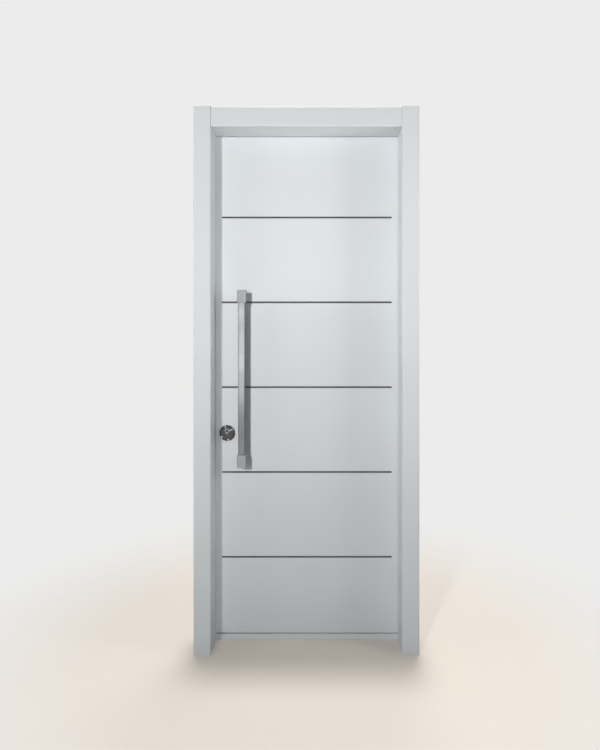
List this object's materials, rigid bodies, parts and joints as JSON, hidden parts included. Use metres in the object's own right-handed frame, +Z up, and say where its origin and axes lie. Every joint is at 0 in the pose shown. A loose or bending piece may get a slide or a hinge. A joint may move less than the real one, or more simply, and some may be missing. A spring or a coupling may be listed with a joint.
{
  "type": "steel entrance door with frame",
  "caption": "Pale grey steel entrance door in a deep folded steel frame, with thin dark metal inlays, a long square pull handle, a round lock rosette and an inside lever.",
  "frame": {"origin": "on the floor, midway between the jambs, in the plane of the leaf's outer face", "axes": "+Z up, +X to the right as seen from the street, +Y into the room; the leaf hangs on the right and opens into the room"},
  "size_m": [0.946, 0.2455, 2.294],
  "materials": {
    "frame_paint": "satin",
    "leaf_paint": "satin",
    "inlay_metal": "satin",
    "seal_rubber": "matte",
    "zinc_steel": "satin",
    "pull_metal": "polished",
    "rosette_metal": "polished",
    "lock_steel": "satin",
    "mineral_wool": "matte"
  },
  "bodies": {
    "frame": {"jamb_left": "frame_paint", "jamb_right": "frame_paint", "frame_head": "frame_paint", "threshold": "frame_paint", "seal_left": "seal_rubber", "seal_right": "seal_rubber", "seal_head": "seal_rubber", "strike_plate": "zinc_steel", "strike_guard": "zinc_steel", "hinge_frame_wing_1": "frame_paint", "hinge_frame_wing_2": "frame_paint", "hinge_frame_wing_3": "frame_paint", "hinge_pin_1": "lock_steel", "hinge_pin_2": "lock_steel", "hinge_pin_3": "lock_steel"},
    "leaf": {"outer_panel": "leaf_paint", "inner_panel": "leaf_paint", "stile_lock": "zinc_steel", "stile_hinge": "zinc_steel", "rail_top": "zinc_steel", "rail_bottom": "zinc_steel", "insulation": "mineral_wool", "bottom_seal": "seal_rubber", "dog_bolts": "zinc_steel", "rod_guides": "zinc_steel", "lock_case": "zinc_steel", "lock_forend": "lock_steel", "cylinder_body": "lock_steel", "lock_rosette": "rosette_metal", "thumb_rose": "lock_steel", "lever_rose": "lock_steel", "pull_bar": "pull_metal", "pull_post_bottom": "pull_metal", "pull_post_top": "pull_metal", "pull_bolts": "pull_metal", "inlay_strip_1": "inlay_metal", "inlay_strip_2": "inlay_metal", "inlay_strip_3": "inlay_metal", "inlay_strip_4": "inlay_metal", "inlay_strip_5": "inlay_metal", "stiffener_1": "zinc_steel", "stiffener_2": "zinc_steel", "stiffener_3": "zinc_steel", "hinge_leaf_wing_1": "leaf_paint", "hinge_leaf_wing_2": "leaf_paint", "hinge_leaf_wing_3": "leaf_paint"},
    "bolts": {"deadbolts": "lock_steel"},
    "upper_rod": {"top_rod": "lock_steel"},
    "lower_rod": {"bottom_rod": "lock_steel"},
    "latch": {"latch_bolt": "lock_steel"},
    "lever": {"lever_handle": "lock_steel", "lever_spindle": "zinc_steel"},
    "thumb_knob": {"thumbturn": "lock_steel", "cylinder_cam": "zinc_steel"},
    "plug": {"key_plug": "lock_steel"},
    "cover": {"rosette_cover": "rosette_metal"}
  },
  "joints": [
    {"name": "leaf_swing", "type": "hinge", "parent": "frame", "child": "leaf", "pos_m": [0.4185, 0.075, 0], "axis": [0, 0, -1], "range_deg": [0, 110]},
    {"name": "bolt_slide", "type": "slide", "parent": "leaf", "child": "bolts", "axis": [-1, 0, 0], "range_m": [0, 0.02]},
    {"name": "upper_rod_slide", "type": "slide", "parent": "leaf", "child": "upper_rod", "axis": [0, 0, 1], "range_m": [0, 0.0181]},
    {"name": "lower_rod_slide", "type": "slide", "parent": "leaf", "child": "lower_rod", "axis": [0, 0, -1], "range_m": [0, 0.0181]},
    {"name": "thumbturn_turn", "type": "hinge", "parent": "leaf", "child": "thumb_knob", "pos_m": [-0.3495, 0.033, 0.918], "axis": [0, 1, 0], "range_deg": [0, 360]},
    {"name": "key_turn", "type": "hinge", "parent": "leaf", "child": "plug", "pos_m": [-0.3495, 0, 0.918], "axis": [0, 1, 0], "range_deg": [0, 360]},
    {"name": "latch_slide", "type": "slide", "parent": "leaf", "child": "latch", "axis": [-1, 0, 0], "range_m": [0, 0.012]},
    {"name": "lever_turn", "type": "hinge", "parent": "leaf", "child": "lever", "pos_m": [-0.3495, 0.1, 1.003], "axis": [0, 1, 0], "range_deg": [0, 45], "stiffness_Nm_per_rad": 0.8, "springref_deg": -34.38},
    {"name": "cover_turn", "type": "hinge", "parent": "leaf", "child": "cover", "pos_m": [-0.3495, -0.012, 0.908], "axis": [0, 1, 0], "range_deg": [0, 120]}
  ],
  "couplings": [
    {"joint": "upper_rod_slide", "follows": "bolt_slide", "ratio": 0.9},
    {"joint": "lower_rod_slide", "follows": "bolt_slide", "ratio": 0.9},
    {"joint": "thumbturn_turn", "follows": "bolt_slide", "rad_per_m": 314},
    {"joint": "key_turn", "follows": "bolt_slide", "rad_per_m": 314}
  ]
}
